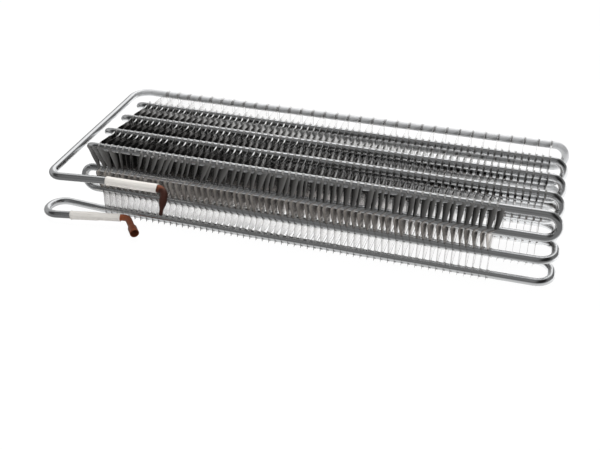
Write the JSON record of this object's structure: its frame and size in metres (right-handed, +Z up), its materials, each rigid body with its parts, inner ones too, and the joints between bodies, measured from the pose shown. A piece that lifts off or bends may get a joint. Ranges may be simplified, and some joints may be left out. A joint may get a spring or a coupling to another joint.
{
  "type": "evaporator coil",
  "caption": "Finned aluminium tube evaporator coil with a necked copper inlet, a copper outlet socket and shrink sleeves over both joints.",
  "frame": {"origin": "middle of the foot of the whole coil: the centre of its outline seen from above, at the height of the fins' lower edges", "axes": "+X along the tubes, towards the end without connections; +Y towards the back; +Z up"},
  "size_m": [0.547, 0.2306, 0.0854],
  "materials": {
    "tube_aluminium": "bright drawn",
    "fin_aluminium": "mill finish sheet",
    "sleeve_plastic": "matt shrink sleeve",
    "copper": "darkened by brazing heat"
  },
  "bodies": {
    "root": {"inlet_sleeve": "sleeve_plastic", "inlet_stub": "copper", "long_fin_01": "fin_aluminium", "long_fin_02": "fin_aluminium", "long_fin_03": "fin_aluminium", "long_fin_04": "fin_aluminium", "long_fin_05": "fin_aluminium", "long_fin_06": "fin_aluminium", "long_fin_07": "fin_aluminium", "long_fin_08": "fin_aluminium", "long_fin_09": "fin_aluminium", "long_fin_10": "fin_aluminium", "long_fin_11": "fin_aluminium", "long_fin_12": "fin_aluminium", "long_fin_13": "fin_aluminium", "long_fin_14": "fin_aluminium", "long_fin_15": "fin_aluminium", "long_fin_16": "fin_aluminium", "long_fin_17": "fin_aluminium", "long_fin_18": "fin_aluminium", "long_fin_19": "fin_aluminium", "long_fin_20": "fin_aluminium", "long_fin_21": "fin_aluminium", "long_fin_22": "fin_aluminium", "long_fin_23": "fin_aluminium", "long_fin_24": "fin_aluminium", "long_fin_25": "fin_aluminium", "long_fin_26": "fin_aluminium", "long_fin_27": "fin_aluminium", "long_fin_28": "fin_aluminium", "long_fin_29": "fin_aluminium", "long_fin_30": "fin_aluminium", "long_fin_31": "fin_aluminium", "long_fin_32": "fin_aluminium", "long_fin_33": "fin_aluminium", "outlet_sleeve": "sleeve_plastic", "outlet_stub": "copper", "serpentine_tube": "tube_aluminium", "short_fins": "fin_aluminium"}
  },
  "joints": []
}
